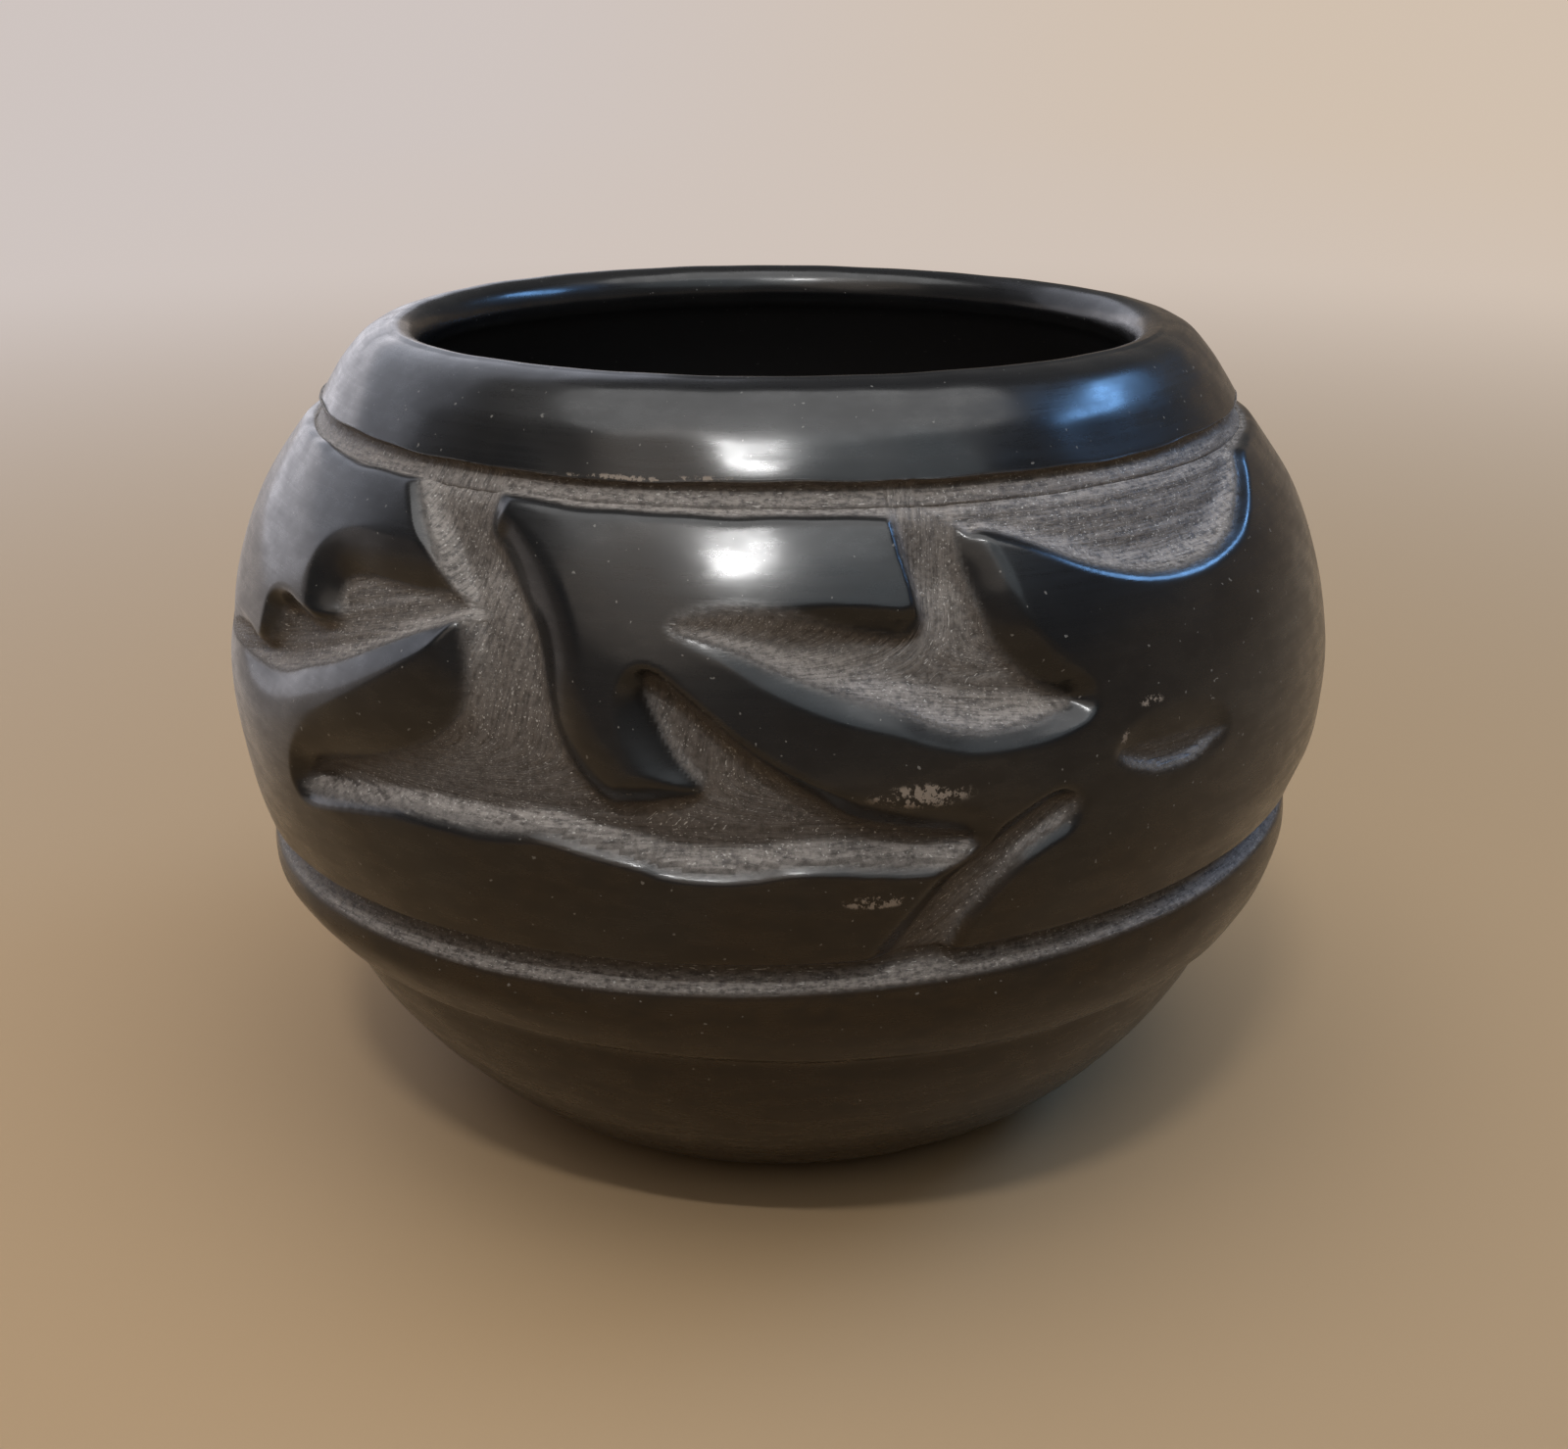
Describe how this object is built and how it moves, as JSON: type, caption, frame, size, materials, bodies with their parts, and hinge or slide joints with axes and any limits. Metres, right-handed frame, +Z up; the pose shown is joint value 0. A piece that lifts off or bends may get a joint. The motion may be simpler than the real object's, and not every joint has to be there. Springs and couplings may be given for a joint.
{
  "type": "bowl",
  "caption": "Round coil-built blackware bowl: rounded base on a flat foot, plain raised ring, carved belly band, and an in-leaning burnished collar round an open mouth.",
  "frame": {"origin": "middle of the flat foot, on the table", "axes": "+Z up along the bowl's axis, -Y towards the side of the main carved panel, +X to the right of that side"},
  "size_m": [0.13, 0.1298, 0.094],
  "materials": {
    "burnished_blackware": "gloss",
    "carved_blackware": "satin"
  },
  "bodies": {
    "root": {"base_pat": "burnished_blackware", "lower_wall_coil": "burnished_blackware", "middle_ring_coil": "burnished_blackware", "lower_belly_coil": "carved_blackware", "upper_belly_coil": "carved_blackware", "shoulder_coil": "carved_blackware", "rim_coil": "burnished_blackware"}
  },
  "joints": []
}
